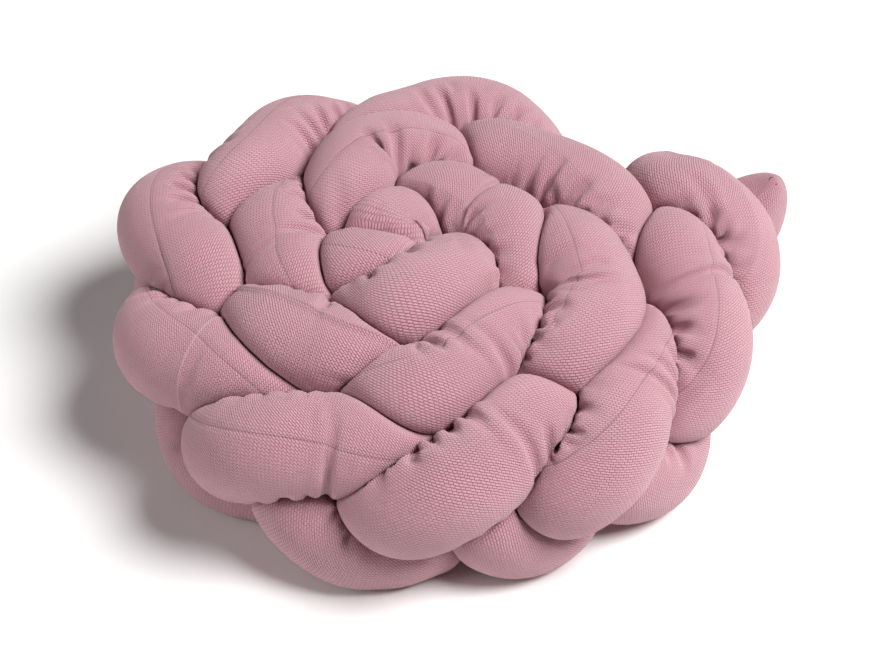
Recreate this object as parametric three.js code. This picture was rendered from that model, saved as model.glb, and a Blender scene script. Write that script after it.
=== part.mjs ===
// Braided crib bumper: three stuffed fabric tubes plaited flat. The plait stands on its edge and is
// wound into a coil, tail outside, as it lies on a table. Millimetres, +Z up, the coil's middle over
// the origin and the table at z = 0.
import * as THREE from 'three';

// Driving dimensions
const STRAND_DIAMETER = 74.5; // stuffed tube where nothing presses on it
const PLAIT_RISE = 40; // a strand's swing above and below the plait's middle
const PLAIT_SWAY = 17.5; // its swing across the plait's thickness
const PLAIT_RAKE = 5.5; // how far its upper edge has slid along it, and its lower edge back
const EDGE_HEIGHT = 72; // the plait's middle above the table, outer turn
const CLOSEST = 50; // two strands' middles are pressed no nearer than this
const LOWEST = 33; // nor any strand's middle nearer to the table
const CLEARANCE = 0.8; // left between neighbouring covers
const WIDEST_SHARE = 1.23; // a squeezed tube swells sideways to at most this share of its radius
const NARROWEST_SHARE = 0.9;
const GIRTH_SHARE = 0.985; // of the free girth that a squeezed section keeps
const BEND_SHARE = 0.8; // of the bend's radius that a tube may fill on its inner side
const END_LENGTH = 55; // over which a tube's end closes to its flat sewn seam
const END_SPREAD = 0.2; // the flat seam is wider than the tube by this share
const END_THIN = 0.08; // thickness left at the seam, as a share of the tube
const CORNER_LENGTH = 9; // the seam's corners are rounded over this length
const CORNER_CUT = 0.22; // share of the seam's width that the rounding takes

// Strokes: a stroke is one strand's pass over the plait's upper edge, counted from the tail inward
const STRANDS = 3;
const FIRST_STROKE = -0.75;
const LAST_STROKE = 19;
const STROKE_TURN = THREE.MathUtils.degToRad(120);
const SAMPLES = 16; // points of a strand's middle line per stroke
const RING_STEP = 2; // every second of them carries a ring of the cover
const END_POINTS = 7; // and each of the last few at either end
const SIDES = 16;

// The plait's middle at each stroke: its place, its lift above the outer turn, the lean of its
// top outward in degrees, and its swing as a share of the full one
const ROUTE = [
  { stroke: -3, x: 130, y: 230, lift: -10, lean: 20, swing: 0.8 },
  { stroke: -2, x: 175, y: 205, lift: -10, lean: 20, swing: 0.8 },
  { stroke: -1, x: 205, y: 146, lift: -17, lean: 24, swing: 0.97 },
  { stroke: 0, x: 218, y: 90, lift: 1, lean: 20, swing: 1.13 },
  { stroke: 1, x: 195, y: 8, lift: 5, lean: 27, swing: 0.9 },
  { stroke: 2, x: 138, y: -118, lift: -4, lean: 14, swing: 0.98 },
  { stroke: 3, x: 49, y: -159, lift: -6, lean: 18, swing: 1.13 },
  { stroke: 4, x: -87, y: -155, lift: -6, lean: 8, swing: 1.03 },
  { stroke: 5, x: -168, y: -70, lift: -8, lean: 12, swing: 1.05 },
  { stroke: 6, x: -210, y: 54, lift: 10, lean: 25, swing: 0.98 },
  { stroke: 7, x: -144, y: 140, lift: 16, lean: 18, swing: 1.14 },
  { stroke: 8, x: -9, y: 207, lift: 10, lean: 13, swing: 1.01 },
  { stroke: 9, x: 97, y: 126, lift: 17, lean: 14, swing: 1.14 },
  { stroke: 10, x: 132, y: -30, lift: 28, lean: 9, swing: 0.9 },
  { stroke: 11, x: 19, y: -107, lift: 17, lean: 10, swing: 1.09 },
  { stroke: 12, x: -90, y: -73, lift: 19, lean: 15, swing: 0.95 },
  { stroke: 13, x: -117, y: 18, lift: 16, lean: 9, swing: 0.89 },
  { stroke: 14, x: -68, y: 124, lift: 29, lean: 15, swing: 1 },
  { stroke: 15, x: 38, y: 55, lift: 22, lean: 3, swing: 0.77 },
  { stroke: 16, x: -27, y: -45, lift: 29, lean: -3, swing: 0.64 },
  { stroke: 17, x: -44, y: -13, lift: 21, lean: 2, swing: 0.87 },
  { stroke: 18, x: -43, y: 31, lift: 23, lean: -3, swing: 0.69 },
  { stroke: 19, x: 0, y: 20, lift: 14, lean: 0, swing: 0.6 },
  { stroke: 20, x: 10, y: 0, lift: 0, lean: 0, swing: 0.6 },
];

// Places where a strand was pulled out of its even lay
const PULLS = [
  { strand: 0, stroke: 1.5, by: new THREE.Vector3(28, 0, 3) },
  { strand: 1, stroke: 2.5, by: new THREE.Vector3(10, 21, 1) },
  { strand: 2, stroke: 3.5, by: new THREE.Vector3(29, -12, 1) },
  { strand: 0, stroke: 4.5, by: new THREE.Vector3(-1, 12, 0) },
  { strand: 2, stroke: 4.75, by: new THREE.Vector3(-9, -2, -1) },
  { strand: 0, stroke: 9.4, by: new THREE.Vector3(-7, -10, 6) },
];
const PULL_REACH = 0.8; // strokes that a pull fades over, either way

// The tail's loose end: the last strand stands out from the coil and turns up at its tip
const LOOSE_STRAND = 2;
const LOOSE_SHIFT = new THREE.Vector3(26, 2, -2);
const LOOSE_REACH = 1; // strokes from the end that the shift fades over
const TIP_RISE = new THREE.Vector3(-4, -28, 26);
const TIP_REACH = 0.29;

// Direction in which each strand's flat end seam lies
const SEAM_DIRECTIONS = [
  new THREE.Vector3(0, 0, 1),
  new THREE.Vector3(0, 0, 1),
  new THREE.Vector3(0.57, 0.75, -0.42),
];

// Settling: how often and how strongly pressed strands move apart, and how they keep their curves
const SETTLE_ROUNDS = 60;
const PUSH = 0.175;
const CROWD = 3; // neighbours that push at full strength
const SMOOTH_PASSES = 2;
const SMOOTH_SHARE = 0.5;
const CURVE_KEPT = 0.9;
const HOLD = 0.05; // pull back to the plaited line
const OWN_SKIP = 1.25; // strokes along a strand within which it doesn't press on itself
const FILL_ROUNDS = 4;
const SOFTNESS = 8; // power of the rounding between a free and a pressed side
const TABLE_SINK = 3; // the rounding's floor lies this far below the table, so that soles are flat
const NEARBY = 1.6 * STRAND_DIAMETER; // what lies further off presses on nothing here
const DRAW_ROUNDS = 8;
const SMALL = 0.001;

// Fabric
const ROSE_PIQUE = { color: 0xc79aa3, roughness: 0.9, metalness: 0 };

const RADIUS = STRAND_DIAMETER / 2;
const UP = new THREE.Vector3(0, 0, 1);
const POINTS = Math.round((LAST_STROKE - FIRST_STROKE) * SAMPLES) + 1;

const strokeOf = (point) => FIRST_STROKE + point / SAMPLES;
const fade = (strokes, reach) => Math.max(0, 1 - Math.abs(strokes) / reach);
const eased = (share) => share * share * (3 - 2 * share);

// Smooth value between rows one stroke apart
function routeValue(stroke, column) {
  const place = stroke - ROUTE[0].stroke;
  const i = THREE.MathUtils.clamp(Math.floor(place), 1, ROUTE.length - 3);
  const [a, b, c, d] = ROUTE.slice(i - 1, i + 3).map((row) => row[column]);
  const f = place - i;
  return b + 0.5 * f * (c - a + f * (2 * a - 5 * b + 4 * c - d + f * (3 * (b - c) + d - a)));
}

function plaitMiddle(stroke) {
  const height = EDGE_HEIGHT + routeValue(stroke, 'lift');
  return new THREE.Vector3(routeValue(stroke, 'x'), routeValue(stroke, 'y'), height);
}

// Middle line of one strand as it is plaited, before the strands press on each other
function plaitedLine(strand) {
  const line = [];
  for (let point = 0; point < POINTS; point += 1) {
    const stroke = strokeOf(point);
    const travel = plaitMiddle(stroke + 1 / SAMPLES).sub(plaitMiddle(stroke - 1 / SAMPLES));
    const outward = new THREE.Vector3(-travel.y, travel.x, 0).normalize();
    const lean = THREE.MathUtils.degToRad(routeValue(stroke, 'lean'));
    const across = outward.clone().multiplyScalar(Math.cos(lean)).addScaledVector(UP, -Math.sin(lean));
    const rising = outward.clone().multiplyScalar(Math.sin(lean)).addScaledVector(UP, Math.cos(lean));
    const phase = Math.PI / 2 + (strand - stroke) * STROKE_TURN;
    const swing = routeValue(stroke, 'swing');
    const place = plaitMiddle(stroke)
      .addScaledVector(rising, PLAIT_RISE * swing * Math.sin(phase))
      .addScaledVector(across, PLAIT_SWAY * swing * Math.sin(2 * phase))
      .addScaledVector(travel.normalize(), PLAIT_RAKE * swing * Math.sin(phase));
    PULLS.filter((pull) => pull.strand === strand).forEach((pull) => {
      place.addScaledVector(pull.by, eased(fade(stroke - pull.stroke, PULL_REACH)));
    });
    line.push(place);
  }
  return line;
}

function loosenEnd(line) {
  line.forEach((place, point) => {
    const walked = point / SAMPLES;
    place.addScaledVector(LOOSE_SHIFT, eased(fade(walked, LOOSE_REACH)));
    place.addScaledVector(TIP_RISE, fade(walked, TIP_REACH) ** 2);
  });
}

// How far each point lies from the middle of its two neighbours
function bends(line) {
  return line.map((place, i) => (i === 0 || i === POINTS - 1
    ? new THREE.Vector3()
    : line[i - 1].clone().add(line[i + 1]).multiplyScalar(0.5).sub(place)));
}

function pressesOn(strandA, pointA, strandB, pointB) {
  return strandA !== strandB || Math.abs(pointA - pointB) > OWN_SKIP * SAMPLES;
}

// Strands that lie too close push each other apart
function pushApart(lines) {
  const moves = lines.map((line) => line.map(() => ({ by: new THREE.Vector3(), count: 0 })));
  const gap = new THREE.Vector3();
  for (let a = 0; a < STRANDS; a += 1) {
    for (let b = a; b < STRANDS; b += 1) {
      for (let i = 0; i < POINTS; i += 1) {
        for (let j = a === b ? i + 1 : 0; j < POINTS; j += 1) {
          gap.subVectors(lines[a][i], lines[b][j]);
          const distance = gap.length();
          if (distance < CLOSEST && pressesOn(a, i, b, j)) {
            gap.multiplyScalar((CLOSEST - distance) / (distance + SMALL));
            moves[a][i].by.add(gap);
            moves[b][j].by.sub(gap);
            moves[a][i].count += 1;
            moves[b][j].count += 1;
          }
        }
      }
    }
  }
  moves.forEach((row, strand) => row.forEach(({ by, count }, point) => {
    const share = PUSH * Math.min(count, CROWD) / Math.max(count, 1);
    lines[strand][point].addScaledVector(by, share);
  }));
}

function settle(lines) {
  const starts = lines.map((line) => line.map((place) => place.clone()));
  const curves = starts.map(bends);
  for (let round = 0; round < SETTLE_ROUNDS; round += 1) {
    pushApart(lines);
    lines.forEach((line, strand) => {
      for (let pass = 0; pass < SMOOTH_PASSES; pass += 1) {
        bends(line).forEach((bend, point) => {
          bend.addScaledVector(curves[strand][point], -CURVE_KEPT);
          line[point].addScaledVector(bend, SMOOTH_SHARE);
        });
      }
      line.forEach((place, point) => {
        place.lerp(starts[strand][point], HOLD);
        place.z = Math.max(place.z, LOWEST);
      });
    });
  }
}

// Travel, bend and an untwisted pair of cross axes at each point of a line
function sections(line) {
  const slope = (values, i) => {
    const before = Math.max(i - 1, 0);
    const after = Math.min(i + 1, POINTS - 1);
    return values[after].clone().sub(values[before]).divideScalar(after - before);
  };
  const steps = line.map((_, i) => slope(line, i));
  const travels = steps.map((step) => step.clone().normalize());
  let first = UP.clone();
  let walked = 0;
  return line.map((middle, point) => {
    const travel = travels[point];
    first = first.clone().addScaledVector(travel, -first.dot(travel)).normalize();
    const second = travel.clone().cross(first);
    const curve = slope(travels, point).divideScalar(steps[point].length());
    walked += point === 0 ? 0 : steps[point].length();
    return { point, middle, travel, first, second, curve, walked };
  });
}

// Radius of a tube that swells to its base where it can and stops softly where it can't
function filledRadius(base, { share, reach }) {
  return ((base * share) ** -SOFTNESS + reach ** -SOFTNESS) ** (-1 / SOFTNESS);
}

// Points of the strands' lines near a section: its own stretch, and all that presses on it
function surroundings(lines, strand, section) {
  const own = [];
  const others = [];
  lines.forEach((line, other) => line.forEach((place, at) => {
    if (place.distanceTo(section.middle) > NEARBY) return;
    const list = pressesOn(strand, section.point, other, at) ? others : own;
    list.push(place);
  }));
  return { own, others };
}

// How far the cover can reach from a section's middle before it meets another strand,
// its own inner bend or the table
function freeReach(section, direction) {
  const gap = new THREE.Vector3();
  let reach = BEND_SHARE / Math.max(direction.dot(section.curve), SMALL);
  reach = Math.min(reach, (section.middle.z + TABLE_SINK) / Math.max(-direction.z, SMALL));
  section.others.forEach((place) => {
    gap.subVectors(place, section.middle);
    const ahead = Math.max(gap.dot(direction) + CLEARANCE, SMALL);
    reach = Math.min(reach, (gap.lengthSq() - CLEARANCE ** 2) / (2 * ahead));
  });
  return reach;
}

// A squeezed section keeps its girth, so it swells where nothing presses on it
function swell(rings) {
  const girth = 2 * Math.PI * RADIUS * GIRTH_SHARE;
  let bases = rings.map(() => RADIUS);
  for (let round = 0; round < FILL_ROUNDS; round += 1) {
    const filled = bases.map((base, i) => {
      const rim = rings[i].spokes.map((spoke) => (
        spoke.direction.clone().multiplyScalar(filledRadius(base, spoke))));
      const length = rim.reduce((sum, place, side) => (
        sum + place.distanceTo(rim[(side + SIDES - 1) % SIDES])), 0);
      return THREE.MathUtils.clamp(base * girth / length, NARROWEST_SHARE * RADIUS, WIDEST_SHARE * RADIUS);
    });
    bases = filled.map((base, i) => {
      const before = filled[Math.max(i - 1, 0)];
      const after = filled[Math.min(i + 1, filled.length - 1)];
      return (before + 2 * base + after) / 4;
    });
  }
  return bases;
}

// Unit directions around a section, and the reach in each as a share of the tube's radius: even
// all round, but near an end the round section closes to a flat seam
function fan(section, length, seam) {
  const left = Math.min(section.walked, length - section.walked);
  const closed = Math.max(0, 1 - left / END_LENGTH);
  const corner = 1 - CORNER_CUT * Math.max(0, 1 - left / CORNER_LENGTH) ** 2;
  const wide = (1 + END_SPREAD * closed) * corner;
  const thin = Math.max(Math.sqrt(1 - closed * closed), END_THIN);
  const seamAxis = seam.clone().addScaledVector(section.travel, -seam.dot(section.travel)).normalize();
  return Array.from({ length: SIDES }, (_, side) => {
    const angle = side * 2 * Math.PI / SIDES;
    const round = section.first.clone().multiplyScalar(Math.cos(angle))
      .addScaledVector(section.second, Math.sin(angle));
    const along = round.dot(seamAxis);
    const direction = round.multiplyScalar(thin).addScaledVector(seamAxis, along * (wide - thin));
    const share = direction.length();
    return { direction: direction.divideScalar(share), share };
  });
}

// Flat facets span the hollows where strands press on each other, so the corners of a facet that
// would cross to a neighbour's side are drawn in
function drawIn(rings, radii) {
  const nearest = (places, spot) => places.reduce((least, place) => (
    Math.min(least, place.distanceTo(spot))), NEARBY);
  const corner = (ring, side) => rings[ring].middle.clone()
    .addScaledVector(rings[ring].spokes[side].direction, radii[ring][side]);
  for (let round = 0; round < DRAW_ROUNDS; round += 1) {
    const excess = radii.map((row) => row.map(() => 0));
    for (let ring = 0; ring < rings.length - 1; ring += 1) {
      const { own, others } = rings[ring];
      for (let side = 0; side < SIDES; side += 1) {
        const next = (side + 1) % SIDES;
        const near = [ring, side];
        const across = [ring + 1, next];
        [[near, [ring, next]], [near, [ring + 1, side]], [near, across],
          [near, [ring, next], across], [near, [ring + 1, side], across]].forEach((corners) => {
          const spot = new THREE.Vector3();
          corners.forEach(([r, s]) => spot.addScaledVector(corner(r, s), 1 / corners.length));
          const lack = (CLEARANCE - nearest(others, spot) + nearest(own, spot)) / 2;
          corners.forEach(([r, s]) => {
            excess[r][s] = Math.max(excess[r][s], lack);
          });
        });
      }
    }
    excess.forEach((row, ring) => row.forEach((lack, side) => {
      radii[ring][side] -= lack;
    }));
  }
}

// Closed cover of one strand: rings of points along its line, a fan of triangles at each end
function strandGeometry(lines, strand) {
  const all = sections(lines[strand]);
  const length = all[POINTS - 1].walked;
  const rings = all.filter(({ point }) => (
    point % RING_STEP === 0 || Math.min(point, POINTS - 1 - point) < END_POINTS));
  rings.forEach((ring) => {
    Object.assign(ring, surroundings(lines, strand, ring));
    ring.spokes = fan(ring, length, SEAM_DIRECTIONS[strand]);
    ring.spokes.forEach((spoke) => {
      spoke.reach = freeReach(ring, spoke.direction);
    });
  });
  const bases = swell(rings);
  const radii = rings.map((ring, i) => ring.spokes.map((spoke) => filledRadius(bases[i], spoke)));
  drawIn(rings, radii);

  const positions = [];
  const place = (vector) => positions.push(vector.x, vector.y, Math.max(vector.z, 0));
  rings.forEach((ring, i) => ring.spokes.forEach(({ direction }, side) => {
    place(ring.middle.clone().addScaledVector(direction, radii[i][side]));
  }));
  place(rings[0].middle);
  place(rings[rings.length - 1].middle);

  const triangles = [];
  const firstCap = rings.length * SIDES;
  const lastRing = firstCap - SIDES;
  for (let side = 0; side < SIDES; side += 1) {
    const next = (side + 1) % SIDES;
    for (let ring = 0; ring < lastRing; ring += SIDES) {
      triangles.push(ring + side, ring + next, ring + SIDES + next);
      triangles.push(ring + side, ring + SIDES + next, ring + SIDES + side);
    }
    triangles.push(firstCap, next, side);
    triangles.push(firstCap + 1, lastRing + side, lastRing + next);
  }
  const geometry = new THREE.BufferGeometry();
  geometry.setAttribute('position', new THREE.Float32BufferAttribute(positions, 3));
  geometry.setIndex(triangles);
  geometry.computeVertexNormals();
  return geometry;
}

const lines = Array.from({ length: STRANDS }, (_, strand) => plaitedLine(strand));
loosenEnd(lines[LOOSE_STRAND]);
settle(lines);

const bumper = new THREE.Group();
for (let strand = 0; strand < STRANDS; strand += 1) {
  const mesh = new THREE.Mesh(strandGeometry(lines, strand), new THREE.MeshStandardMaterial(ROSE_PIQUE));
  mesh.name = `strand_${strand + 1}`;
  bumper.add(mesh);
}

// The coil's middle goes over the origin
const middle = new THREE.Box3().setFromObject(bumper, true).getCenter(new THREE.Vector3());
bumper.children.forEach((mesh) => mesh.geometry.translate(-middle.x, -middle.y, 0));

export default bumper;
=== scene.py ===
"""Looks of the braided crib bumper: three stuffed tubes of rose waffle pique, plaited and coiled up.

Each tube's middle line is plaited and settled as in the CAD part, and its cover is swelled against
its neighbours and the table. The cover's spare cloth is then settled into puckers, and the deep
folds and the seams are pressed and sewn in.
"""

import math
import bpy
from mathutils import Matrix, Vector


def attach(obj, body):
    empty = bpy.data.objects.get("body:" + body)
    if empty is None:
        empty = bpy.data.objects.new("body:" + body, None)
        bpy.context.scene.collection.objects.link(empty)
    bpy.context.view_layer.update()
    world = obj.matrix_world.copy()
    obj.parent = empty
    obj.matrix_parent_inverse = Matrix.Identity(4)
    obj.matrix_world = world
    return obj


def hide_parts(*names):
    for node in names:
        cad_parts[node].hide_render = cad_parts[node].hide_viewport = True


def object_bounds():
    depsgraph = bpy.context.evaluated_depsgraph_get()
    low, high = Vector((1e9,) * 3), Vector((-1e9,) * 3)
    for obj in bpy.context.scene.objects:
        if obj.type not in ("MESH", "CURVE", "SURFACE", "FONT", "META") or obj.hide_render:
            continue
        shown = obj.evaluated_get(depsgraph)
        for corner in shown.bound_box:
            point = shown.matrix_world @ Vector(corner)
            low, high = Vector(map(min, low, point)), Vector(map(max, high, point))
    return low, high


bl_info = {
    "name": "Braided crib bumper",
    "version": (1, 0, 0),
    "blender": (4, 5, 0),
    "location": "View3D > Sidebar > Bumper",
    "description": "A coiled three-strand plait of stuffed rose fabric, with its stage",
    "category": "Object",
}

from collections import namedtuple

import bpy
import numpy as np
from bpy.props import FloatProperty, IntProperty, PointerProperty, StringProperty
from mathutils import Vector

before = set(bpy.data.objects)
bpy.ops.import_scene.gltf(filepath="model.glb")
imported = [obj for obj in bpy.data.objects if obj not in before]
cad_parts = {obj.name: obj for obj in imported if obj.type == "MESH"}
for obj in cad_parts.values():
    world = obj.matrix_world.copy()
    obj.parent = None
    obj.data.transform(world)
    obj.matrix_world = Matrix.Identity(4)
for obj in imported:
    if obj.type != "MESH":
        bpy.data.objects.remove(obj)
CAD_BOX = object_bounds()

MM = 0.001
STRAND_NODES = ("strand_1", "strand_2", "strand_3")
UP = np.array((0.0, 0.0, 1.0))
SMALL = 1e-6

# Strokes: a stroke is one strand's pass over the plait's upper edge, counted from the tail inward
FIRST_STROKE = -0.75
LAST_STROKE = 19
SAMPLES = 16  # points of a strand's middle line per stroke while it settles
POINTS = round((LAST_STROKE - FIRST_STROKE) * SAMPLES) + 1

# The plait's middle at each stroke in mm, its lift above the outer turn, the lean of its top
# outward in degrees and its swing as a share of the full one. Strokes -1 to 18, the pulls, the
# tube's diameter and widest share and the plait's rise, sway and rake were fitted together to the
# strokes' outlines in the photo, and rounded
Stroke = namedtuple("Stroke", "number x y lift lean swing")
ROUTE = (
    Stroke(-3, 130, 230, -10, 20, 0.8),
    Stroke(-2, 175, 205, -10, 20, 0.8),
    Stroke(-1, 205, 146, -17, 24, 0.97),
    Stroke(0, 218, 90, 1, 20, 1.13),
    Stroke(1, 195, 8, 5, 27, 0.9),
    Stroke(2, 138, -118, -4, 14, 0.98),
    Stroke(3, 49, -159, -6, 18, 1.13),
    Stroke(4, -87, -155, -6, 8, 1.03),
    Stroke(5, -168, -70, -8, 12, 1.05),
    Stroke(6, -210, 54, 10, 25, 0.98),
    Stroke(7, -144, 140, 16, 18, 1.14),
    Stroke(8, -9, 207, 10, 13, 1.01),
    Stroke(9, 97, 126, 17, 14, 1.14),
    Stroke(10, 132, -30, 28, 9, 0.9),
    Stroke(11, 19, -107, 17, 10, 1.09),
    Stroke(12, -90, -73, 19, 15, 0.95),
    Stroke(13, -117, 18, 16, 9, 0.89),
    Stroke(14, -68, 124, 29, 15, 1),
    Stroke(15, 38, 55, 22, 3, 0.77),
    Stroke(16, -27, -45, 29, -3, 0.64),
    Stroke(17, -44, -13, 21, 2, 0.87),
    Stroke(18, -43, 31, 23, -3, 0.69),
    Stroke(19, 0, 20, 14, 0, 0.6),
    Stroke(20, 10, 0, 0, 0, 0.6),
)

# Where a strand's lengthwise seam lies, in degrees outward from straight up, and how far it stands
# out of the cover in mm: a pressed seam lies in a groove, a loose one shows as a ridge. Strokes and
# angles were worked out from places in the photo, and those of the folds below too
Seam = namedtuple("Seam", "strand stroke angle rise")
SEAMS = (
    Seam(0, 0.03, 31, 0.5),
    Seam(0, 0.18, 22, 0.5),
    Seam(0, 0.41, 37, 0.5),
    Seam(0, 3, -75, -0.5),
    Seam(0, 5.64, 68, -0.8),
    Seam(0, 5.78, 45, -0.8),
    Seam(0, 5.95, 23, -0.8),
    Seam(0, 6.09, 11, -0.8),
    Seam(0, 6.27, 13, -0.8),
    Seam(0, 8.78, 16, 0.5),
    Seam(0, 8.95, -1, 0.5),
    Seam(0, 9.14, -17, 0.5),
    Seam(0, 9.36, -14, 0.5),
    Seam(0, 11.61, 22, 2.4),
    Seam(0, 11.78, 8, 2.4),
    Seam(0, 11.95, -6, 2.4),
    Seam(0, 12.17, -10, 2.4),
    Seam(0, 12.3, 4, 2.4),
    Seam(0, 14.56, -9, 0.5),
    Seam(0, 14.73, -23, 0.5),
    Seam(0, 15.1, -32, 0.5),
    Seam(0, 18, 75, -0.5),
    Seam(1, 0.74, 39, -0.8),
    Seam(1, 0.94, 26, -0.8),
    Seam(1, 1.08, 14, -0.8),
    Seam(1, 1.16, 10, -0.8),
    Seam(1, 1.29, 17, -0.8),
    Seam(1, 2.5, 0, -0.5),
    Seam(1, 3.66, 63, -0.8),
    Seam(1, 3.78, 50, -0.8),
    Seam(1, 4.06, 38, -0.8),
    Seam(1, 4.21, 28, -0.8),
    Seam(1, 4.37, 28, -0.8),
    Seam(1, 6.56, 21, -0.4),
    Seam(1, 6.92, 12, -0.4),
    Seam(1, 9.73, 1, -0.6),
    Seam(1, 9.87, -19, -0.6),
    Seam(1, 10.03, -28, -0.6),
    Seam(1, 10.18, -22, -0.6),
    Seam(1, 10.38, -16, -0.6),
    Seam(1, 12.73, 30, -0.7),
    Seam(1, 12.93, 13, -0.7),
    Seam(1, 13.13, 1, -0.7),
    Seam(1, 13.32, -1, -0.7),
    Seam(1, 16, -80, -0.5),
    Seam(2, 1.79, 43, -0.8),
    Seam(2, 1.99, 27, -0.8),
    Seam(2, 2.14, 9, -0.8),
    Seam(2, 2.33, 3, -0.8),
    Seam(2, 3.5, 0, -0.5),
    Seam(2, 4.61, 41, -0.8),
    Seam(2, 4.73, 35, -0.8),
    Seam(2, 4.97, 15, -0.8),
    Seam(2, 5.14, -1, -0.8),
    Seam(2, 5.28, -3, -0.8),
    Seam(2, 8, 60, -0.5),
    Seam(2, 8.47, 50, -0.5),
    Seam(2, 10.52, 1, -0.8),
    Seam(2, 10.67, 18, -0.8),
    Seam(2, 10.87, -1, -0.8),
    Seam(2, 11.04, -13, -0.8),
    Seam(2, 11.14, -16, -0.8),
    Seam(2, 11.31, 4, -0.8),
    Seam(2, 13.64, 51, -0.7),
    Seam(2, 13.77, 9, -0.7),
    Seam(2, 13.84, -8, -0.7),
    Seam(2, 13.99, -17, -0.7),
    Seam(2, 17.05, 24, -0.4),
    Seam(2, 17.15, -1, -0.4),
)
SEAM_WIDTH = 2.6 * MM
SEAM_BLUR = 12  # rings

# How the sides of the cover next to a seam go along with it, as shares of its rise. A ridge lifts
# the side before it and the side after it. A seam that rises further lies folded over: the sides
# near it, counted from the seam, sink or lift by their shares of the further rise
RIDGE_FLANK = 0.8
FOLDED_FROM = 1 * MM
FOLDED_SIDES = {-1: -1.4, 1: 0.4, 2: 1.2, 3: 0.5}
# The pale ridge is a painted highlight
FOLDED_FADE = 1.5  # how fast the pale ridge fades as the seam folds over

# A strand whose cover was sewn together from two lengths, and where
JOIN_STRAND = 2
JOIN_STROKE = 5
JOIN_RISE = 0.6 * MM

# Deep folds that the pinched cover keeps. Each runs from the pinch to where it fades out: strokes
# along the plait, degrees outward from straight up, and its depth in mm
Fold = namedtuple("Fold", "strand stroke angle to_stroke to_angle depth")
FOLDS = (
    Fold(0, 0.09, -28, -0.22, 1, 4.3),
    Fold(0, 0.24, -15, 0.02, -22, 3.5),
    Fold(0, 0.29, -2, 0.17, 6, 3.2),
    Fold(0, 0.37, 21, 0.32, 26, 2.6),
    Fold(0, 2.52, 54, 2.73, 64, 2.3),
    Fold(0, 2.56, 39, 2.70, 43, 2.3),
    Fold(0, 3.29, -22, 3.20, -16, 3.2),
    Fold(0, 9.15, -62, 9.06, -42, 3.2),
    Fold(0, 9.24, -45, 9.24, -13, 3.2),
    Fold(0, 9.37, -15, 9.32, -5, 2.9),
    Fold(0, 9.47, 3, 9.42, 13, 2.9),
    Fold(0, 11.73, 69, 11.86, 64, 2.6),
    Fold(0, 11.73, 81, 11.92, 76, 2.3),
    Fold(0, 14.65, -32, 14.63, -20, 2.9),
    Fold(0, 14.75, -49, 14.73, -21, 3.2),
    Fold(0, 14.83, -49, 14.80, -21, 3.5),
    Fold(0, 15.01, -51, 15.01, -31, 3.2),
    Fold(0, 15.14, -45, 15.12, -25, 2.9),
    Fold(0, 17.93, 18, 18.02, 5, 2.9),
    Fold(1, 1.28, -24, 1.23, -12, 2.6),
    Fold(1, 1.41, 5, 1.30, 2, 2.9),
    Fold(1, 1.54, 43, 1.34, 24, 3.2),
    Fold(1, 9.81, -47, 9.81, -11, 3.2),
    Fold(1, 9.88, -71, 10.06, -24, 3.5),
    Fold(1, 10.40, -17, 10.20, -18, 3.5),
    Fold(1, 10.53, 11, 10.38, 4, 2.6),
    Fold(1, 15.62, 40, 15.69, 31, 2.6),
    Fold(1, 15.66, 56, 15.75, 49, 2.6),
    Fold(1, 15.69, -2, 15.73, 14, 2.6),
    Fold(1, 15.71, 63, 15.77, 53, 2.3),
    Fold(1, 15.82, -37, 15.84, -13, 2.6),
    Fold(2, 2.28, -9, 2.18, -4, 2.9),
    Fold(2, 2.35, 1, 2.26, 6, 2.9),
    Fold(2, 13.56, -15, 13.70, 12, 3.8),
    Fold(2, 13.70, -33, 14.05, -27, 2.0),
)
FOLD_WIDTH = 3.7 * MM  # from a fold's bottom to its side
FOLD_FADE = 0.7  # power with which a fold gets shallower along its length
FOLD_LEAD = 1 / 3  # of its length, by which a fold begins before the pinch
LIP_PLACE = 2  # fold widths from the fold's bottom
LIP_SHARE = 0.45  # of the fold's depth

# Places where a strand was pulled out of its even lay, by how much in mm
Pull = namedtuple("Pull", "strand stroke x y z")
PULLS = (
    Pull(0, 1.5, 28, 0, 3),
    Pull(1, 2.5, 10, 21, 1),
    Pull(2, 3.5, 29, -12, 1),
    Pull(0, 4.5, -1, 12, 0),
    Pull(2, 4.75, -9, -2, -1),
    Pull(0, 9.4, -7, -10, 6),
)
PULL_REACH = 0.8  # strokes either way
THIRD_TURN = math.radians(120)  # by which the three strands follow each other

# The tail's loose end: the last strand stands out from the coil and turns up at its tip, in mm
LOOSE_STRAND = 2
LOOSE_SHIFT = np.array((26, 2, -2)) * MM
LOOSE_REACH = 1
TIP_RISE = np.array((-4, -28, 26)) * MM
TIP_REACH = 0.29
SEAM_DIRECTIONS = np.array(((0, 0, 1), (0, 0, 1), (0.57, 0.75, -0.42)))

# Settling: how often and how strongly pressed strands move apart, and how they keep their curves
SETTLE_ROUNDS = 60
PUSH = 0.175  # share of an overlap put right in each round
CROWD = 3  # pushes that add up; more of them are averaged
SMOOTH_PASSES = 2
SMOOTH_SHARE = 0.5
CURVE_KEPT = 0.9  # of the plaited curve
HOLD = 0.05  # share of the way back to the plaited place
OWN_SKIP = 1.25  # strokes along a strand that don't press on each other
CLOSEST = 50 * MM  # middles of two strands push each other away up to here
LOWEST = 33 * MM  # for a strand's middle above the table

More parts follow.
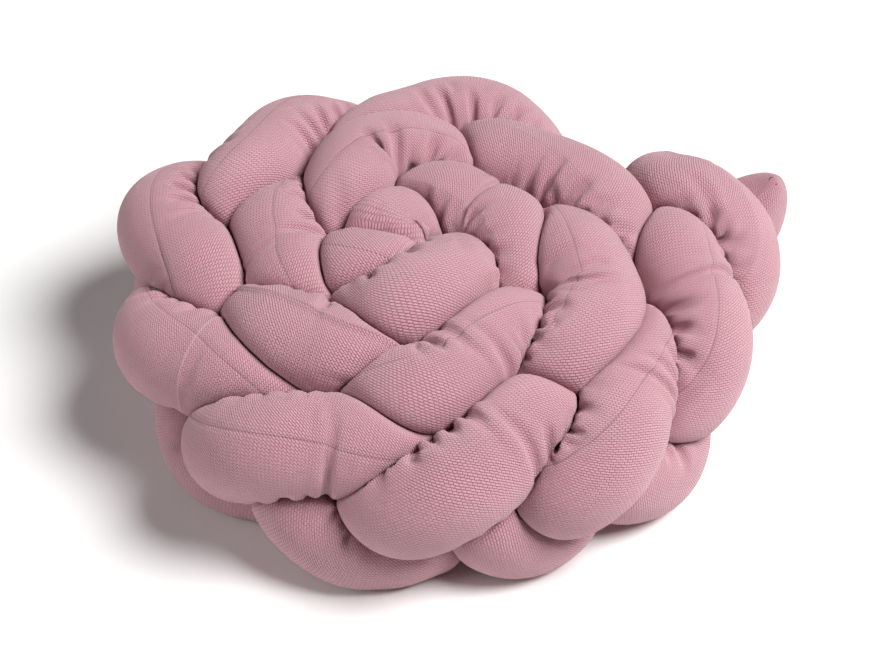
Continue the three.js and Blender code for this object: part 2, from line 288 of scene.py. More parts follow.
# Swelling of the covers
CLEARANCE = 0.4 * MM  # left between two covers as they swell
NEARBY = 125 * MM  # what lies further off presses on nothing here
NEIGHBOUR_STEP = 2  # every second ring of the other strands is enough to press on
WIDEST_SHARE = 1.23  # a squeezed tube swells sideways to at most this share of its radius
NARROWEST_SHARE = 0.9
GIRTH_SHARE = 0.985  # of the free girth that a squeezed section keeps
BEND_SHARE = 0.8  # of the bend's radius that a tube may fill on its inner side
FLATTEST_BEND = 1  # per metre: flatter bends count as this one
BEND_BLUR = 10 * MM
FILL_ROUNDS = 4
FILL_BLUR = 28 * MM
SOFTNESS = 12  # power of the rounding between a free and a pressed side
TABLE_SINK = 3 * MM  # the rounding's floor lies this far below the table, so that soles are flat
END_LENGTH = 55 * MM  # over which a tube's end closes to its flat sewn seam
END_SPREAD = 0.2  # the flat seam is wider than the tube by this share
END_THIN = 0.012  # thickness left at the seam, as a share of the tube
CORNER_LENGTH = 9 * MM  # the seam's corners are rounded over this length
CORNER_CUT = 0.19  # share of the seam's width that the rounding takes

# Cut of the covers: how short of its place the cloth may be, how tightly it lies round the
# stuffing, and over how many rings the cut is evened out
SHORTEST_CUT = 0.985
SHORTEST_DIAGONAL = 0.5
GIRTH_CUT = 0.995
CURVE_BLUR = 20
CUT_BLUR = 2

# Lumps of the stuffing: the rings and sides that a small and a wide one reach over
CLOTH_SEED = 11
SMALL_LUMP = (3, 3)
WIDE_LUMP = (24, 6)
SMALL_LUMP_HEIGHT = 0.3 * MM

# Settling of the cloth, as shares put right in each round: lengths along and around the cover, its
# diagonals, its stiffness over two or four rings and two sides, and its way back to its start
LENGTH_SHARE = 0.9
DIAGONAL_SHARE = 0.2
TWO_RINGS_SHARE = 0.5
FOUR_RINGS_SHARE = 0.25
TWO_SIDES_SHARE = 0.3
RETURN_SHARE = 0.015

# How far the cover gives way: a little where another strand presses on it, more with the room that
# is left there, and hardly where the innermost strokes are tucked in tight
PRESSED_DIP = 0.3 * MM
ROOM_DIP = 0.4
CALM_STROKE = 17.9
CALM_REACH = 0.4  # strokes
CALM_LEAST = 0.15

# The fabric: slant of its rows of ribs to the tube, height of the ribs, and the widths of what
# else shows in it
BIAS_ANGLE = math.radians(-40)
RIB_HEIGHT = 0.75 * MM
RIB_SWAY = 1.2 * MM  # how far the rows of ribs wander off their line
SWAY_SIZE = 6 * MM
FIBRE_SIZE = 0.8 * MM  # bunches of fibres: single ones are too fine to show
PATCH_SIZE = 70 * MM
SEAM_LINE = 0.9 * MM
SEAM_CORE = 0.25 * SEAM_LINE
STITCH_LENGTH = 3 * MM

# Shares in the fabric: the hollows' width of the rows' spacing, how far fibres and patches change
# its shade, the fibres' height of the ribs', the seam's strength between two stitches, and the
# power that narrows the join's pale line, a painted highlight
# The hollows' share also sets how wide their painted shade is
RECESS_SHARE = 0.27
FIBRE_SHADE = 0.16
PATCH_SHADE = 0.16
FIBRE_HEIGHT = 0.5
STITCH_GAP = 0.55
JOIN_POWER = 2.5

# Grid of each cover, and the finer steps that measure a strand's length
RINGS = 1480
SIDES = 66
FINE_STEPS = 20

# Flat coordinates of the cloth: a ring's length along the tube is taken at this percentile of its
# edges, and the lengths along and across are evened out over so many rings
EDGE_PERCENT = 70
ALONG_BLUR = 8
ACROSS_BLUR = 6

# The stage: lamps with their places in metres, widths and watts, and what the camera looks at
Lamp = namedtuple("Lamp", "name place width power")
LAMPS = (
    Lamp("key_softbox", (2.5, -0.5, 3.8), 2.6, 316),
    Lamp("fill_softbox", (-4.2, -1.3, 2.0), 2.8, 80),
)
ROOM_LIGHT = 0.02
FLOOR_HALF = 6.0
FLOOR_DROP = 0.3 * MM  # the floor lies this far under the covers' soles
CAMERA_AIM = Vector((-0.0163, -0.009, 0.075))
SENSOR_WIDTH = 36


class PlaitSettings(bpy.types.PropertyGroup):
    strand_diameter: FloatProperty(
        name="Strand diameter",
        description="Stuffed tube where nothing presses on it",
        default=0.0745,
        unit="LENGTH",
    )
    plait_rise: FloatProperty(
        name="Plait rise",
        description="A strand's swing above and below the plait's middle",
        default=0.0400,
        unit="LENGTH",
    )
    plait_sway: FloatProperty(
        name="Plait sway",
        description="A strand's swing across the plait's thickness",
        default=0.0175,
        unit="LENGTH",
    )
    plait_rake: FloatProperty(
        name="Plait rake",
        description="How far the upper edge has slid along the plait",
        default=0.0055,
        unit="LENGTH",
    )
    edge_height: FloatProperty(
        name="Edge height",
        description="The plait's middle above the table on the outer turn",
        default=0.072,
        unit="LENGTH",
    )
    fill: FloatProperty(
        name="Fill",
        description="How full the tubes are stuffed, from slack to tight",
        default=0.85,
        min=0,
        max=1,
        subtype="FACTOR",
    )


class CoverSettings(bpy.types.PropertyGroup):
    rounds: IntProperty(
        name="Settling rounds",
        description="Steps in which the spare cloth settles into puckers",
        default=140,
        min=0,
    )
    slack: FloatProperty(
        name="Slack",
        description="Spare length of the cover along a bent strand, as a share of the bend",
        default=0.6,
        subtype="FACTOR",
    )
    most_spare: FloatProperty(
        name="Most spare cloth",
        description="Largest spare length gathered at one place, as a share of that place",
        default=0.4,
        subtype="FACTOR",
    )
    pressure: FloatProperty(
        name="Stuffing push",
        description="How far the stuffing pushes the cover out in each round",
        default=0.00006,
        unit="LENGTH",
        precision=5,
    )
    lumps: FloatProperty(
        name="Lumps",
        description="Unevenness of the stuffing under the cover",
        default=0.0006,
        unit="LENGTH",
        precision=4,
    )
    farthest: FloatProperty(
        name="Farthest move",
        description="How far a place of the cover may settle from where it was swelled",
        default=0.0036,
        unit="LENGTH",
    )


class FabricSettings(bpy.types.PropertyGroup):
    face: StringProperty(
        name="Face", description="Raised ribs of the weave, sRGB hex", default="#C78A96"
    )
    worn_face: StringProperty(
        name="Worn face", description="Ribs that were rubbed paler, sRGB hex", default="#CA929D"
    )
    # Painted shade: the hollows between the ribs are coloured darker for the shade that falls in
    # them
    recess_shade: StringProperty(
        name="Recess", description="Hollows between the ribs, sRGB hex", default="#9E6470"
    )
    # Painted shade: the stitches' colour holds the shade of the groove they lie in
    seam: StringProperty(
        name="Seam", description="Stitches in a groove, sRGB hex", default="#8A5A64"
    )
    # Painted highlight: raised sewn edges and the join are coloured paler for the light they catch
    ridge: StringProperty(
        name="Ridge", description="Raised sewn edges, sRGB hex", default="#D2A7AF"
    )
    nap: StringProperty(
        name="Nap", description="Soft sheen of the brushed face, sRGB hex", default="#FFE4E9"
    )
    rib_length: FloatProperty(
        name="Rib length",
        description="Length of one raised rib of the waffle weave",
        default=0.0038,
        unit="LENGTH",
        precision=4,
    )
    rib_spacing: FloatProperty(
        name="Rib spacing",
        description="Distance from one row of ribs to the next",
        default=0.00205,
        unit="LENGTH",
        precision=5,
    )


class StageSettings(bpy.types.PropertyGroup):
    floor: StringProperty(
        name="Floor", description="Plain studio floor, sRGB hex", default="#FAF9F8"
    )
    elevation: FloatProperty(
        name="Camera elevation",
        description="Height of the camera above the horizon",
        default=math.radians(45),
        subtype="ANGLE",
    )
    distance: FloatProperty(
        name="Camera distance",
        description="From the camera to the place it looks at",
        default=2.2,
        unit="LENGTH",
    )
    lens: FloatProperty(
        name="Lens",
        description="Focal length of the camera",
        default=104,
        unit="CAMERA",
    )


def smooth_rows(rows, places):
    """Values on a Catmull-Rom curve through the rows of a table, at fractional row numbers."""
    first = np.clip(np.floor(places).astype(int), 1, len(rows) - 3)
    a, b, c, d = (rows[first + step] for step in (-1, 0, 1, 2))
    f = (places - first).reshape(-1, *[1] * (rows.ndim - 1))
    return b + 0.5 * f * (c - a + f * (2 * a - 5 * b + 4 * c - d + f * (3 * (b - c) + d - a)))


def eased(share):
    """A share from 0 to 1 with a soft start and a soft end."""
    return share * share * (3 - 2 * share)


def unit(vectors):
    return vectors / np.linalg.norm(vectors, axis=-1, keepdims=True)


def blurred(values, spread):
    """Values smoothed along the first axis, with their ends held. Spread is in rows."""
    reach = math.ceil(3 * spread)
    weights = np.exp(-0.5 * (np.arange(-reach, reach + 1) / spread) ** 2)
    ends = [(reach, reach)] + [(0, 0)] * (values.ndim - 1)
    padded = np.pad(values, ends, mode="edge")
    total = sum(weight * padded[i:i + len(values)] for i, weight in enumerate(weights))
    return total / weights.sum()


def route(strokes):
    """Middle, lean and swing of the plait at each stroke, in metres and radians."""
    rows = smooth_rows(np.array(ROUTE, float), strokes - ROUTE[0].number)
    _, x, y, lift, lean, swing = rows.T
    height = lift * MM + bpy.context.scene.bumper_plait.edge_height
    return np.stack((x * MM, y * MM, height), 1), np.radians(lean), swing


def plaited_line(strand):
    """Middle line of one strand as it is plaited, before the strands press on each other."""
    plait = bpy.context.scene.bumper_plait
    strokes = FIRST_STROKE + np.arange(POINTS) / SAMPLES
    middle, lean, swing = route(strokes)
    travel = route(strokes + 1 / SAMPLES)[0] - route(strokes - 1 / SAMPLES)[0]
    outward = unit(np.stack((-travel[:, 1], travel[:, 0], np.zeros(POINTS)), 1))
    cos, sin = np.cos(lean)[:, None], np.sin(lean)[:, None]
    phase = math.pi / 2 + (strand - strokes) * THIRD_TURN
    rise = (plait.plait_rise * swing * np.sin(phase))[:, None]
    sway = (plait.plait_sway * swing * np.sin(2 * phase))[:, None]
    line = middle + rise * (outward * sin + UP * cos) + sway * (outward * cos - UP * sin)
    line += unit(travel) * (plait.plait_rake * swing * np.sin(phase))[:, None]
    for pull in PULLS:
        if pull.strand == strand:
            near = np.maximum(0, 1 - np.abs(strokes - pull.stroke) / PULL_REACH)[:, None]
            line += np.array((pull.x, pull.y, pull.z)) * MM * eased(near)
    if strand == LOOSE_STRAND:
        walked = np.arange(POINTS)[:, None] / SAMPLES
        out = np.maximum(0, 1 - walked / LOOSE_REACH)
        tip = np.maximum(0, 1 - walked / TIP_REACH)
        line += LOOSE_SHIFT * eased(out) + TIP_RISE * tip**2
    return line


def bends(lines):
    """How far each point lies from the middle of its two neighbours."""
    found = np.zeros_like(lines)
    found[:, 1:-1] = (lines[:, :-2] + lines[:, 2:]) / 2 - lines[:, 1:-1]
    return found


def settled(lines):
    """The strands' lines after they have pushed each other apart."""
    starts, curves = lines.copy(), bends(lines)
    count = len(lines)
    strand = np.repeat(np.arange(count), POINTS)
    point = np.tile(np.arange(POINTS), count)
    presses = strand[:, None] != strand
    presses |= np.abs(point[:, None] - point) > OWN_SKIP * SAMPLES
    for _ in range(SETTLE_ROUNDS):
        places = lines.reshape(-1, 3)
        apart = np.linalg.norm(places[:, None] - places, axis=2)
        near = presses & (apart < CLOSEST)
        weight = np.where(near, (CLOSEST - apart) / (apart + SMALL), 0)
        push = places * weight.sum(1, keepdims=True) - weight @ places
        crowd = near.sum(1, keepdims=True)
        share = PUSH * np.minimum(crowd, CROWD) / np.maximum(crowd, 1)
        lines = (places + share * push).reshape(lines.shape)
        for _ in range(SMOOTH_PASSES):
            lines = lines + SMOOTH_SHARE * (bends(lines) - CURVE_KEPT * curves)
        lines = lines + HOLD * (starts - lines)
        lines[..., 2] = np.maximum(lines[..., 2], LOWEST)
    return lines


class Strand:
    """One strand's middle line, evenly spaced, with its travel, bends and cross axes."""

    def __init__(self, number, line):
        padded = np.vstack((2 * line[0] - line[1], line, 2 * line[-1] - line[-2]))
        fine = np.linspace(1, POINTS, POINTS * FINE_STEPS)
        steps = np.linalg.norm(np.diff(smooth_rows(padded, fine), axis=0), axis=1)
        walked = np.concatenate(([0], np.cumsum(steps)))
        self.number = number
        self.length = walked[-1]
        self.step = self.length / (RINGS - 1)
        self.walked = np.linspace(0, self.length, RINGS)
        places = np.interp(self.walked, walked, fine)
        self.strokes = FIRST_STROKE + (places - 1) / SAMPLES
        self.middle = smooth_rows(padded, places)
        self.travel = unit(np.gradient(self.middle, axis=0))
        bend = np.gradient(self.travel, self.step, axis=0)
        self.bend = blurred(bend, BEND_BLUR / self.step)
        self.first = np.empty_like(self.middle)
        axis = UP
        for ring, travel in enumerate(self.travel):
            axis = axis - travel * (axis @ travel)
            axis = axis / np.linalg.norm(axis)
            self.first[ring] = axis
        self.second = np.cross(self.travel, self.first)
        self.turn_to_seam()

    def turn_to_seam(self):
        """Turns the cross axes so that the first one points at the lengthwise seam."""
        seams = [seam for seam in SEAMS if seam.strand == self.number]
        rings = [int(np.argmin(np.abs(self.strokes - seam.stroke))) for seam in seams]
        angles = []
        for seam, ring in zip(seams, rings):
            travel = self.travel[ring]
            above = unit(UP - travel * travel[2])
            outward = np.cross(above, travel)
            angle = math.radians(seam.angle)
            aim = math.cos(angle) * above + math.sin(angle) * outward
            angles.append(math.atan2(aim @ self.second[ring], aim @ self.first[ring]))
        places = self.walked[rings]
        turn = np.interp(self.walked, places, np.unwrap(angles))
        turn = blurred(turn, SEAM_BLUR)[:, None]
        rise = np.interp(self.walked, places, [seam.rise * MM for seam in seams])
        self.seam_rise = blurred(rise, SEAM_BLUR)
        first, second = self.first, self.second
        self.first = np.cos(turn) * first + np.sin(turn) * second
        self.second = np.cos(turn) * second - np.sin(turn) * first


def side_places():
    """Where the sides of a ring lie round the cover in metres from the seam, with one side on the
    seam and one along each edge of it."""
    girth = math.pi * bpy.context.scene.bumper_plait.strand_diameter
    return np.append(0, np.linspace(SEAM_WIDTH / 2, girth - SEAM_WIDTH / 2, SIDES - 1))


def spokes(strand):
    """Unit directions around each ring and the share of the radius in each: even all round, but
    near an end the round section closes to a flat seam."""
    left = np.minimum(strand.walked, strand.length - strand.walked)
    closed = np.maximum(0, 1 - left / END_LENGTH)
    corner = 1 - CORNER_CUT * np.maximum(0, 1 - left / CORNER_LENGTH) ** 2
    wide = (1 + END_SPREAD * closed) * corner
    thin = np.maximum(np.sqrt(1 - closed * closed), END_THIN)
    seam = SEAM_DIRECTIONS[strand.number] + np.zeros_like(strand.travel)
    seam = unit(seam - strand.travel * np.sum(seam * strand.travel, 1, keepdims=True))
    radius = bpy.context.scene.bumper_plait.strand_diameter / 2
    angle = (side_places() / radius)[:, None]
    round_ = np.cos(angle) * strand.first[:, None] + np.sin(angle) * strand.second[:, None]
    along = np.sum(round_ * seam[:, None], 2, keepdims=True)
    stretched = round_ * thin[:, None, None] + seam[:, None] * along * (wide - thin)[:, None, None]
    share = np.linalg.norm(stretched, axis=2)
    return stretched / share[..., None], share


def free_reach(strand, strands, directions):
    """How far the cover reaches in each direction before it meets another strand or the table."""
    below = np.maximum(-directions[..., 2], SMALL)
    reach = (strand.middle[:, 2:] + TABLE_SINK) / below
    places = np.concatenate([other.middle[::NEIGHBOUR_STEP] for other in strands])
    strokes = np.concatenate([other.strokes[::NEIGHBOUR_STEP] for other in strands])
    numbers = np.repeat([other.number for other in strands], len(places) // len(strands))
    for ring in range(RINGS):
        gap = places - strand.middle[ring]
        square = np.sum(gap * gap, 1)
        presses = (numbers != strand.number) | (np.abs(strokes - strand.strokes[ring]) > OWN_SKIP)
        near = presses & (square < NEARBY**2)
        ahead = np.maximum(directions[ring] @ gap[near].T + CLEARANCE, SMALL)
        meets = (square[near] - CLEARANCE**2) / (2 * ahead)
        reach[ring] = np.minimum(reach[ring], meets.min(1, initial=NEARBY))
    return reach


def bend_reach(strand, directions):
    """How far the cover reaches in each direction before it meets itself on an inner bend."""
    inward = np.sum(directions * strand.bend[:, None], 2)
    return BEND_SHARE / np.maximum(inward, FLATTEST_BEND)


def filled_radius(base, share, reach):
    """Radius of a tube that swells to its base where it can and stops softly where it can't."""
    return ((base[:, None] * share) ** -SOFTNESS + reach**-SOFTNESS) ** (-1 / SOFTNESS)


def swelled_radius(strand, directions, share, reach):
    """A squeezed section keeps its girth, so it swells where nothing presses on it."""
    radius = bpy.context.scene.bumper_plait.strand_diameter / 2
    girth = 2 * math.pi * radius * GIRTH_SHARE
    base = np.full(RINGS, radius)
    for _ in range(FILL_ROUNDS):
        rim = directions * filled_radius(base, share, reach)[..., None]
        length = np.linalg.norm(rim - np.roll(rim, 1, 1), axis=2).sum(1)
        base = np.clip(base * girth / length, NARROWEST_SHARE * radius, WIDEST_SHARE * radius)
        base = blurred(base, FILL_BLUR / 2 / strand.step)
    return filled_radius(base, share, reach)


def keep_lengths(points, rest, along, around, share, press_only=False):
    """Moves each pair of grid points, a number of rings and sides apart, to its rest length."""
    count = len(points) - along
    gap = np.roll(points, -around, 1)[along:] - points[:count]
    error = 1 - rest / np.sqrt(np.einsum("ijk,ijk->ij", gap, gap))
    if press_only:
        error = np.minimum(error, 0)
    move = (0.5 * share * error)[..., None] * gap
    points[:count] += move
    points[along:] -= np.roll(move, around, 1)


def edge_lengths(points, along, around):
    count = len(points) - along
    return np.linalg.norm(np.roll(points, -around, 1)[along:] - points[:count], axis=2)


def outward_normals(points):
    around = np.roll(points, -1, 1) - np.roll(points, 1, 1)
    normals = np.cross(around, np.gradient(points, axis=0))
    return normals / (np.linalg.norm(normals, axis=2, keepdims=True) + SMALL * SMALL)


def unevenness(rng, rings, sides):
    """Soft random heights over a cover, even in spread, as wide as the given rings and sides."""
    heights = blurred(rng.normal(size=(RINGS, SIDES)), rings)
    thrice = np.concatenate((heights, heights, heights), 1)
    heights = blurred(thrice.T, sides).T[:, SIDES:2 * SIDES]
    return heights / heights.std()


def hold_in(strand, points, directions, reach):
    """Holds each place of a cover within its reach along its spoke, and above the table."""
    out = np.einsum("ijk,ijk->ij", points - strand.middle[:, None], directions)
    points -= directions * np.maximum(0, out - reach)[..., None]
    points[..., 2] = np.maximum(points[..., 2], 0)


def settle_cloth(strand, points, directions, reach):
    """Settles the cover as cloth: cut as a straight tube, it has spare length on the inner side of
    each bend, and the stuffing holds it out, so the spare cloth gathers into puckers."""
    cover = bpy.context.scene.bumper_cover
    rng = np.random.default_rng(CLOTH_SEED + strand.number)
    now = edge_lengths(points, 1, 0)
    radius = bpy.context.scene.bumper_plait.strand_diameter / 2
    curve = np.linalg.norm(strand.bend, axis=1)[:-1]
    cut = strand.step * (1 + cover.slack * blurred(curve, CURVE_BLUR) * radius)
    rest = np.clip(cut[:, None], SHORTEST_CUT * now, (1 + cover.most_spare) * now)
    rest = blurred(rest, CUT_BLUR)
    girth = edge_lengths(points, 0, 1) * GIRTH_CUT
    spare = rest**2 - now**2
    least = SHORTEST_DIAGONAL**2
    squares = [edge_lengths(points, 1, step) ** 2 for step in (1, -1)]
    right, left = (np.sqrt(np.maximum(square + spare, square * least)) for square in squares)
    two = rest[:-1] + rest[1:]
    four = two[:-2] + two[2:]
    wide = girth + np.roll(girth, -1, 1)
    uneven = unevenness(rng, *SMALL_LUMP) * SMALL_LUMP_HEIGHT
    uneven += unevenness(rng, *WIDE_LUMP) * cover.lumps
    points += outward_normals(points) * uneven[..., None]
    start = points.copy()
    inner = np.minimum(reach, bend_reach(strand, directions))
    room = inner - np.einsum("rsk,rsk->rs", start - strand.middle[:, None], directions)
    calm = np.clip((CALM_STROKE - strand.strokes) / CALM_REACH, CALM_LEAST, 1)
    farthest = cover.farthest * calm[:, None]
    dip = np.minimum(PRESSED_DIP + ROOM_DIP * np.maximum(room, 0), farthest)
    for _ in range(cover.rounds):
        points += outward_normals(points) * cover.pressure
        keep_lengths(points, rest, 1, 0, LENGTH_SHARE)
        keep_lengths(points, girth, 0, 1, LENGTH_SHARE)
        keep_lengths(points, right, 1, 1, DIAGONAL_SHARE)
        keep_lengths(points, left, 1, -1, DIAGONAL_SHARE)
        keep_lengths(points, two, 2, 0, TWO_RINGS_SHARE, press_only=True)
        keep_lengths(points, four, 4, 0, FOUR_RINGS_SHARE, press_only=True)
        keep_lengths(points, wide, 0, 2, TWO_SIDES_SHARE, press_only=True)
        points += RETURN_SHARE * (start - points)
        far = points - start
        moved = np.linalg.norm(far, axis=2, keepdims=True)
        points -= far * np.maximum(0, 1 - farthest[..., None] / (moved + SMALL))
        sunk = np.einsum("rsk,rsk->rs", points - start, directions) + dip
        points -= directions * np.minimum(sunk, 0)[..., None]
        hold_in(strand, points, directions, reach)
        points[[0, -1]] = start[[0, -1]]
    return points


def hex_linear(text):
    """Linear RGBA of an sRGB hex colour."""
    parts = [int(text[i:i + 2], 16) / 255 for i in (1, 3, 5)]
    linear = [p / 12.92 if p <= 0.04045 else ((p + 0.055) / 1.055) ** 2.4 for p in parts]
    return (*linear, 1.0)


def add_node(tree, kind, settings=None, inputs=None):
    """Adds a node. An input is a value, or an output socket of another node to link."""
    node = tree.nodes.new(kind)
    for name, value in (settings or {}).items():
        setattr(node, name, value)
    for name, value in (inputs or {}).items():
        if isinstance(value, bpy.types.NodeSocket):
            tree.links.new(value, node.inputs[name])
        else:
            node.inputs[name].default_value = value
    return node


def rose_waffle_pique():
    """Rose cotton waffle pique, woven, brushed and sewn into tubes. The eye sees short raised ribs
    in staggered rows, a soft matt face without gloss, and thin sewn lines."""
    fabric = bpy.context.scene.bumper_fabric
    girth = math.pi * bpy.context.scene.bumper_plait.strand_diameter
    material = bpy.data.materials.new("rose_waffle_pique_woven_brushed")
    material.use_nodes = True
    tree = material.node_tree
    tree.nodes.clear()
    cloth = add_node(tree, "ShaderNodeUVMap", {"uv_map": "cloth"}).outputs["UV"]
    flat = add_node(tree, "ShaderNodeSeparateXYZ", inputs={"Vector": cloth}).outputs

    # The cloth is cut on the bias, so its rows of ribs run at a slant to the tube
    bias = add_node(
        tree, "ShaderNodeMapping", inputs={"Vector": cloth, "Rotation": (0, 0, BIAS_ANGLE)}
    )
    sway = add_node(
        tree, "ShaderNodeTexNoise", inputs={"Vector": cloth, "Scale": 1 / SWAY_SIZE, "Detail": 1}
    )
    swayed = add_node(
        tree,
        "ShaderNodeVectorMath",
        {"operation": "MULTIPLY_ADD"},
        {0: sway.outputs["Color"], 1: (RIB_SWAY, RIB_SWAY, 0), 2: bias.outputs["Vector"]},
    )
    # The mortar colour paints shade into the hollows between the ribs, on top of the bump's own
    # shading
    ribs = add_node(
        tree,
        "ShaderNodeTexBrick",
        {"offset": 0.5},
        {
            "Vector": swayed.outputs["Vector"],
            "Scale": 1,
            "Color1": hex_linear(fabric.face),
            "Color2": hex_linear(fabric.worn_face),
            "Mortar": hex_linear(fabric.recess_shade),
            "Mortar Size": RECESS_SHARE * fabric.rib_spacing,
            "Mortar Smooth": 1,
            "Brick Width": fabric.rib_length,
            "Row Height": fabric.rib_spacing,
        },
    )

    # Loose fibres of the brushed face, and faint patches from washing and handling
    fibres = add_node(
        tree, "ShaderNodeTexNoise", inputs={"Vector": cloth, "Scale": 1 / FIBRE_SIZE, "Detail": 2}
    )
    patches = add_node(
        tree, "ShaderNodeTexNoise", inputs={"Vector": cloth, "Scale": 1 / PATCH_SIZE, "Detail": 1}
    )
    shade = add_node(
        tree,
        "ShaderNodeMath",
        {"operation": "MULTIPLY_ADD"},
        {0: fibres.outputs["Fac"], 1: FIBRE_SHADE, 2: 1 - FIBRE_SHADE},
    )
    shade = add_node(
        tree,
        "ShaderNodeMath",
        {"operation": "MULTIPLY_ADD"},
        {0: patches.outputs["Fac"], 1: PATCH_SHADE, 2: shade.outputs[0]},
    )
    woven = add_node(
        tree,
        "ShaderNodeHueSaturation",
        inputs={"Color": ribs.outputs["Color"], "Value": shade.outputs[0]},
    )

    # The lengthwise seam: a thin line of stitches, with painted shade where it lies in a groove and
    # a painted highlight where it stands out as a ridge
    from_seam = add_node(
        tree, "ShaderNodeMath", {"operation": "PINGPONG"}, {0: flat["X"], 1: girth / 2}
    )
    line = add_node(
        tree,
        "ShaderNodeMapRange",
        {"interpolation_type": "SMOOTHSTEP"},
        {
            "Value": from_seam.outputs[0],
            "From Min": SEAM_CORE,
            "From Max": SEAM_LINE,
            "To Min": 1,
            "To Max": 0,
        },
    )
    in_stitch = add_node(
        tree, "ShaderNodeMath", {"operation": "PINGPONG"}, {0: flat["Y"], 1: STITCH_LENGTH / 2}
    )
    stitch = add_node(
        tree,
        "ShaderNodeMapRange",
        {"interpolation_type": "SMOOTHSTEP"},
        {
            "Value": in_stitch.outputs[0],
            "From Max": STITCH_LENGTH / 4,
            "To Min": STITCH_GAP,
            "To Max": 1,
        },
    )
    sewn = add_node(
        tree,
        "ShaderNodeMath",
        {"operation": "MULTIPLY"},
        {0: line.outputs["Result"], 1: stitch.outputs["Result"]},
    )
    # How raised the seam is picks between the groove's painted shade and the ridge's painted
    # highlight
    raised = add_node(tree, "ShaderNodeAttribute", {"attribute_name": "raised"})
    thread = add_node(
        tree,
        "ShaderNodeMix",
        {"data_type": "RGBA"},
        {
            0: raised.outputs["Fac"],
            6: hex_linear(fabric.seam),
            7: hex_linear(fabric.ridge),
        },
    )
    with_seam = add_node(
        tree,
        "ShaderNodeMix",
        {"data_type": "RGBA"},
        {0: sewn.outputs[0], 6: woven.outputs["Color"], 7: thread.outputs[2]},
    )
    # The join's ring takes the ridge colour: a painted highlight along the raised join
    join_highlight = add_node(tree, "ShaderNodeAttribute", {"attribute_name": "join_highlight"})
    narrow = add_node(
        tree, "ShaderNodeMath", {"operation": "POWER"}, {0: join_highlight.outputs["Fac"], 1: JOIN_POWER}
    )
    colour = add_node(
        tree,
        "ShaderNodeMix",
        {"data_type": "RGBA"},
        {0: narrow.outputs[0], 6: with_seam.outputs[2], 7: hex_linear(fabric.ridge)},
    )

    # Ribs stand up from the ground weave, with fibres on them
    height = add_node(
        tree,
        "ShaderNodeMath",
        {"operation": "MULTIPLY_ADD"},
        {0: fibres.outputs["Fac"], 1: -FIBRE_HEIGHT, 2: ribs.outputs["Fac"]},
    )
    bump = add_node(
        tree,
        "ShaderNodeBump",
        {"invert": True},
        {"Height": height.outputs[0], "Distance": RIB_HEIGHT, "Strength": 1},
    )
    shader = add_node(
        tree,
        "ShaderNodeBsdfPrincipled",
        inputs={
            "Base Color": colour.outputs[2],
            "Normal": bump.outputs["Normal"],
            "Roughness": 0.8,
            "IOR": 1.46,
            "Specular IOR Level": 0.4,
            "Sheen Weight": 0.62,
            "Sheen Roughness": 0.7,
            "Sheen Tint": hex_linear(fabric.nap),
        },
    )
    output = add_node(tree, "ShaderNodeOutputMaterial")
    tree.links.new(shader.outputs["BSDF"], output.inputs["Surface"])
    return material


def crease(strand, points, directions):
    """Presses the deep folds into the cover, each with a soft lip along both sides."""
    radius = bpy.context.scene.bumper_plait.strand_diameter / 2
    above = unit(UP - strand.travel * strand.travel[:, 2:])
    outward = np.cross(above, strand.travel)
    across = np.sum(directions * outward[:, None], 2)
    angle = np.arctan2(across, np.sum(directions * above[:, None], 2))
    lift = np.zeros((RINGS, SIDES))
    for fold in FOLDS:
        if fold.strand != strand.number:
            continue
        ends = np.interp((fold.stroke, fold.to_stroke), strand.strokes, strand.walked)
        turns = np.radians((fold.angle, fold.to_angle))
        run = np.array((ends[1] - ends[0], (turns[1] - turns[0]) * radius))
        length = np.linalg.norm(run)
        ahead = strand.walked[:, None] - ends[0]
        beside = (angle - turns[0]) * radius
        share = (ahead * run[0] + beside * run[1]) / length**2
        off = np.abs(ahead * run[1] - beside * run[0]) / length
        fade = np.clip(1 - share, 0, 1) ** FOLD_FADE * np.clip(1 + share / FOLD_LEAD, 0, 1)
        lip = np.exp(-((off / FOLD_WIDTH - LIP_PLACE) ** 2))
        groove = np.exp(-((off / FOLD_WIDTH) ** 2))
        lift += fold.depth * MM * fade * (LIP_SHARE * lip - groove)
    points += outward_normals(points) * lift[..., None]


def sew(strand, points):
    """Stands the lengthwise seam and the join in or out of the cover, with the seam folded over
    where it rises far, and gives the masks of the painted light on them: how raised each place of
    the seam is, for a painted highlight on a ridge and painted shade in a groove, and where the join
    lies."""
    normals = outward_normals(points)
    ridge = np.maximum(0, strand.seam_rise)
    folded = np.maximum(0, strand.seam_rise - FOLDED_FROM)
    lifts = {side: share * folded for side, share in FOLDED_SIDES.items()}
    lifts[0] = strand.seam_rise
    for side in (-1, 1):
        lifts[side] = lifts[side] + RIDGE_FLANK * ridge
    for side, lift in lifts.items():
        points[:, side] += normals[:, side] * lift[:, None]
    # Share of the ridge's painted highlight; where it is low, the groove's painted shade shows
    raised = np.zeros((RINGS, SIDES), np.float32)
    raised[:] = np.clip((ridge - FOLDED_FADE * folded) / FOLDED_FROM, 0, 1)[:, None]
    # Where the join lies, for its painted highlight
    join_highlight = np.zeros((RINGS, SIDES), np.float32)
    if strand.number == JOIN_STRAND:
        ring = int(np.argmin(np.abs(strand.strokes - JOIN_STROKE)))
        join_highlight[ring] = 1
        points[ring] += normals[ring] * JOIN_RISE
    return {"raised": raised, "join_highlight": join_highlight}


